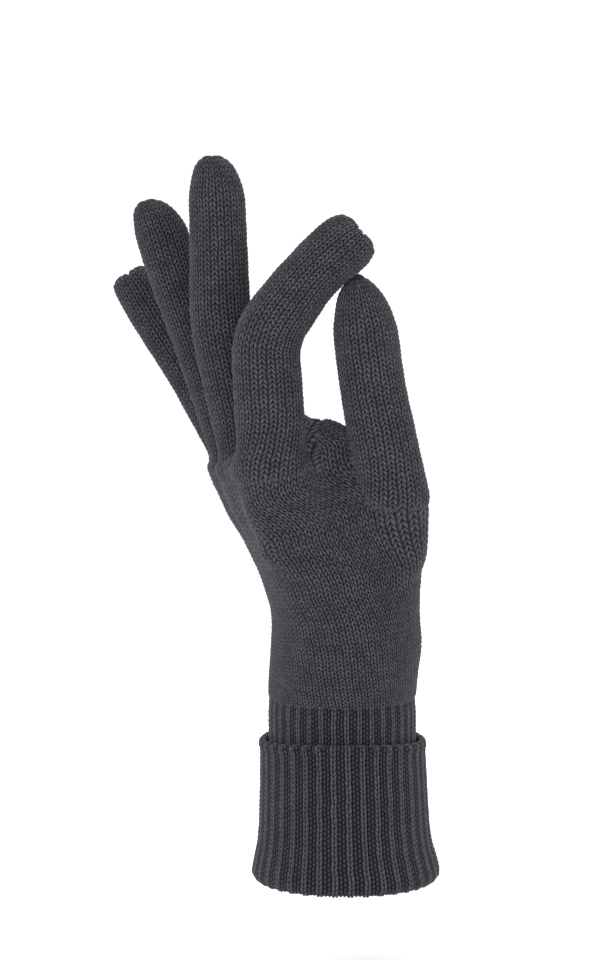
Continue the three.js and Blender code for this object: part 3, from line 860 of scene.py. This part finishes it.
# %% Lay out the columns of stitches
# Each path is given by its x at these heights.
PATH_HEIGHTS = [60, 90, 110, 125, 140, 155]
PATHS = [[-16, -20.5, -29, -40, -46, -50],
         [-6, -10.5, -19.5, -31, -40, -45],
         [4, 0, -8.5, -19.5, -29.5, -35],
         [14, 11.5, 4, -6, -17, -25],
         [20.5, 19, 14, 6.5, -4, -12]]


def closed_loop(level):
    """The outline at a level, closed, and how far round it each point lies, from 0 to 1."""
    loop = np.vstack([outline[level], outline[level, :1]])
    run = run_along(loop)
    return loop, run / run[-1]


crossings = []
for level in range(LEVELS):
    loop, run = closed_loop(level)
    forward = (loop - middle[level]) @ along[level]
    first, last = np.argmin(forward), np.argmax(forward)
    row = []
    for path in PATHS:
        beyond = loop[first:last, 0] - np.interp(loop[first:last, 2], PATH_HEIGHTS, path)
        row.append(run[first + np.argmax(beyond > 0)])
    crossings.append([*row, run[last]])
crossings = relaxed(np.maximum.accumulate(np.array(crossings), axis=1), 40)
print("columns on the paths, at four levels:", (crossings[::33] * HAND_WALES).round(1).tolist())

# %% Share out the rest
hand_table = []
for level in range(LEVELS):
    loop, run = closed_loop(level)
    wanted = np.arange(-HAND_TURNS, 2 * HAND_TURNS) / HAND_TURNS
    place = np.interp(np.mod(wanted, 1), [0, *crossings[0], 1], [0, *crossings[level], 1])
    place = relaxed(place + np.floor(wanted), 60)[HAND_TURNS:2 * HAND_TURNS] % 1
    hand_table.append(np.stack([np.interp(place, run, loop[:, k]) for k in range(3)], axis=1))
hand_table = smoothed(np.array(hand_table), 4, 3)
print("hand:", hand_table.shape)

# %% Close the top between the fingers
lid = []
for q in np.linspace(0, 1, 12)[1:]:
    shrink = math.sqrt(max(1 - q * q, 0))
    offset = hand_table[-1] - middle[-1]
    lid.append(middle[-1] + offset * np.array([shrink, 0.7 + 0.3 * shrink, shrink]) + up[-1] * 3 * q)
hand_table = np.concatenate([hand_table, np.array(lid)]) * MM
BODY_SHARE = (LEVELS - 1) / (len(hand_table) - 1)
print("share of the levels that is not lid:", round(BODY_SHARE, 3))


# %% Knit the hand
WRIST_CUT, PALM_CUT = 19, 40  # the courses where one piece of the hand ends and the next starts


def rise_from_rib(wale, left):
    """Starts the hand below the surface of the ribs, so that they run up into it."""
    return -1.3 * (1 - step_up(WRIST_CUT - left, 0.3, 3))


for name, low_cut, high_cut in (("hand_wrist_knit", 0, WRIST_CUT),
                                ("hand_palm_knit", WRIST_CUT, PALM_CUT),
                                ("hand_knuckle_knit", PALM_CUT, HAND_COURSES)):
    piece = knit(name, hand_table, HAND_WALES, high_cut - low_cut,
                 (BODY_SHARE * low_cut / HAND_COURSES, BODY_SHARE * high_cut / HAND_COURSES),
                 PLAIN_WOOL, first=low_cut, shape=rise_from_rib if low_cut == 0 else None)
    if low_cut == 0:
        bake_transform(piece)
        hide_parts("hand_tube")
    else:
        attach(piece, "hand")
piece = knit("finger_crotches_knit", hand_table, HAND_WALES, 5, (BODY_SHARE, 1), PLAIN_WOOL,
             first=HAND_COURSES, columns=4, rows=4, lining=2)
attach(piece, "hand")
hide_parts("crotch_index_middle", "crotch_middle_ring", "crotch_ring_little")


# %% [markdown]
# ## The ribbed cuff
#
# The cuff is knitted one plain, one purl. The plain columns stand up as ribs and the purl columns
# sink between them, so the cloth can stretch over a hand and spring back. It is long enough to turn
# back over itself, and shows twice: the inner layer round the wrist, and the outer layer that ends in
# the cast-on edge. A rib could be one plain ridge, but both kinds of column have their stitches
# here, with sixteen columns of faces a rib.

# %% Ribbing
RIBS = 36
RIB_COURSES = 38  # on each layer
RIB_COLUMNS, RIB_ROWS = 16, 4  # faces across one rib and up one stitch
KNIT_SHARE = 0.5  # of a rib's width that its plain column takes


def rib_zigzag(rib):
    """How far up a row of the grid is moved, in rows of stitches: only the plain columns zigzag."""
    place = np.mod(rib, 1) / KNIT_SHARE
    return np.where(place < 1, -SLANT * (0.5 - np.abs(2 * place - 1)), 0.5 * SLANT)


def rib_relief(rib, course):
    """A raised plain column of two legs, and a sunk purl column of small bars."""
    place = np.mod(rib, 1) / KNIT_SHARE
    plain = np.where(place < 1, np.sin(np.pi * np.clip(place, 0, 1)) ** 0.45, 0)
    leg = 0.2 + 0.8 * np.sin(np.pi * np.mod(2 * place, 1)) ** 0.8
    ridge = np.sqrt(np.clip(1 - (2 * np.mod(course, 1) - 1) ** 2, 0, 1))
    raised = 0.1 + 0.9 * plain * leg * (0.45 + 0.55 * ridge)
    sunk = (np.mod(rib, 1) - KNIT_SHARE) / (1 - KNIT_SHARE)
    bar = np.sin(np.pi * np.mod(course + 0.35 + 0.5 * (sunk > 0.5), 1)) ** 0.7
    bead = np.abs(np.sin(2 * np.pi * np.clip(sunk, 0, 1))) ** 0.6
    return np.where(place < 1, raised, 0.06 + 0.56 * bar * bead)


# %% [markdown]
# The smooth surface of each layer is a profile turned about the wrist, a little broader across the
# hand than it is deep. A spin would make it just as well, but here it has to be a table of points, like
# the other surfaces. The inner layer follows the wrist and reaches down inside the fold.

# %% The inner layer
def turned_surface(profile, breadth, dip=0.0, turns=216):
    """Turns a profile of (radius, height, shift) about the wrist, broader across than deep. dip
    lowers the top edge at the back and the palm."""
    line = np.array(profile, float)
    length = np.concatenate([[0], np.cumsum(np.hypot(*np.diff(line[:, :2], axis=0).T))])
    wanted = np.linspace(0, length[-1], 140)
    line = np.stack([np.interp(wanted, length, line[:, k]) for k in range(3)], axis=1)
    line = relaxed(line, 6)
    angle = np.radians(90) + 2 * np.pi * np.arange(turns) / turns
    x = line[:, 0, None] * np.cos(angle) + line[:, 2, None]
    y = line[:, 0, None] * np.sin(angle) * breadth
    z = line[:, 1, None] - dip * np.outer((line[:, 1] / line[-1, 1]) ** 4, np.cos(angle) ** 2)
    return np.stack([x, y, z], axis=2) * MM


inner_table = turned_surface([(22.9, 3.2, -1.8), (23.4, 20, -1.8), (24.2, 46, -1.8),
                              (24.3, 57, -1.9), (23.8, 63.5, -1.9)], 1.2)
piece = knit("wrist_rib_knit", inner_table, RIBS, RIB_COURSES, (0, 0.98), RIB_WOOL, relief=rib_relief,
             height=1.1 * MM, columns=RIB_COLUMNS, rows=RIB_ROWS, zigzag=rib_zigzag,
             thickness=0.9 * MM, uneven=0.45)
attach(piece, "cuff")
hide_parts("wrist_rib")


# %% [markdown]
# The outer layer starts inside the fold, rounds its bottom, leans in as it rises and ends in the
# cast-on edge. A rib cuff has its edge cast on first, with a thicker yarn or twisted loops, so the
# edge is a row of small rounded heads that curl in towards the wrist.

# %% The turned-back layer
def cast_on_loops(rib, left):
    """A thicker, scalloped edge, with one loop for each column."""
    swell = np.exp(-((left - 1.9) / 1.1) ** 2)
    return swell * (0.5 + 0.5 * np.cos(4 * np.pi * rib))


outer_table = turned_surface([(24.6, 4.0, -1.6), (24.8, 1.6, -1.2), (26.6, 0.6, -0.9),
                              (29.4, 0.8, -0.8), (31.2, 3.0, -0.6), (30.6, 6.5, -0.7),
                              (28.9, 13, -1.0), (28.1, 20, -1.2), (27.6, 32, -1.4),
                              (27.2, 46, -1.7), (27.2, 48.4, -1.8), (26.5, 50.1, -1.8),
                              (25.0, 50.8, -1.8)], 1.18, dip=2.2)
piece = knit("turned_back_cuff_knit", outer_table, RIBS, RIB_COURSES, (0, 0.985), RIB_WOOL,
             relief=rib_relief, height=1.2 * MM, columns=RIB_COLUMNS, rows=RIB_ROWS,
             zigzag=rib_zigzag, thickness=1.0 * MM, uneven=0.4, rolled=1.6, shape=cast_on_loops)
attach(piece, "cuff")
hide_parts("cuff_turn_back", "cast_on_edge")


# %% [markdown]
# ## Loose ends of yarn
#
# A fingertip is closed by drawing a yarn through its last stitches, and the thumb is joined to the
# hand with another. Both show as thick loops. A curve with a bevel would do, but a bent grid gives the
# same loop as a plain mesh with its own map of stitches.

# %% Loops of yarn
def loop_of_yarn(name, points, radius, turns=8):
    """A closed loop of yarn through points in millimetres."""
    count = len(points)
    mesh, i, j = flat_sheet(name, count, turns)
    way = np.roll(points, -1, axis=0) - np.roll(points, 1, axis=0)
    way /= np.linalg.norm(way, axis=1, keepdims=True)
    out = points - points.mean(axis=0)
    out -= np.sum(out * way, axis=1)[:, None] * way
    out /= np.linalg.norm(out, axis=1, keepdims=True)
    rise = np.cross(way, out)
    turn = 2 * np.pi * j / turns
    k = i.astype(int) % count
    place = points[k] + radius * (np.cos(turn)[:, None] * out[k] + np.sin(turn)[:, None] * rise[k])
    loft = np.full(len(i), MIDDLE_LOFT)
    piece = finished(mesh, place * MM, (i / 4, j / turns), loft, YARN_WOOL, turn_out=True)
    print(f"{name}: {len(mesh.polygons)} faces")
    return piece


# %% Close the tips
TIP_POINTS = 24
for name, digit in DIGITS.items():
    end, way, side = digit["end"], digit["way"][-1], digit["side"][-1]
    turn = 2 * np.pi * np.arange(TIP_POINTS) / TIP_POINTS
    ring = (end - way * 1.1 + np.outer(np.cos(turn), side) * (digit["ridge"] * 0.3 + 0.6)
            + np.outer(np.sin(turn), digit["hinge"]) * 0.9)
    piece = loop_of_yarn(f"{name}_closing_yarn", ring, 0.45)
    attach(piece, digit["bodies"][-1])
    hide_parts(f"{name}_draw_yarn")

# %% [markdown]
# The joining yarn goes in and out once for each column of the thumb, so its loop is a wave round the
# seam. It lies half in the cloth, as a sewn yarn does.

# %% Join the thumb
thumb = DIGITS["thumb"]
WAVES = thumb["wales"]
WAVE_OUT, WAVE_UP = 0.35, 0.5  # how far the yarn swings out and along the thumb, mm
at = np.argmin(np.abs(thumb["run"] - thumb["seam_at"]))
turn = 2 * np.pi * np.arange(10 * WAVES) / (10 * WAVES)
out = thumb["radius"][at] - WAVE_OUT + WAVE_OUT * np.cos(WAVES * turn)
ring = (thumb["middle"][at] + np.outer(np.cos(turn) * out, thumb["side"][at])
        + np.outer(np.sin(turn) * out * thumb["breadth"], thumb["hinge"])
        + np.outer(WAVE_UP * np.sin(WAVES * turn), thumb["way"][at]))
piece = loop_of_yarn("thumb_joining_yarn", ring, 0.4)
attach(piece, "hand")
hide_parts("thumb_join_row")
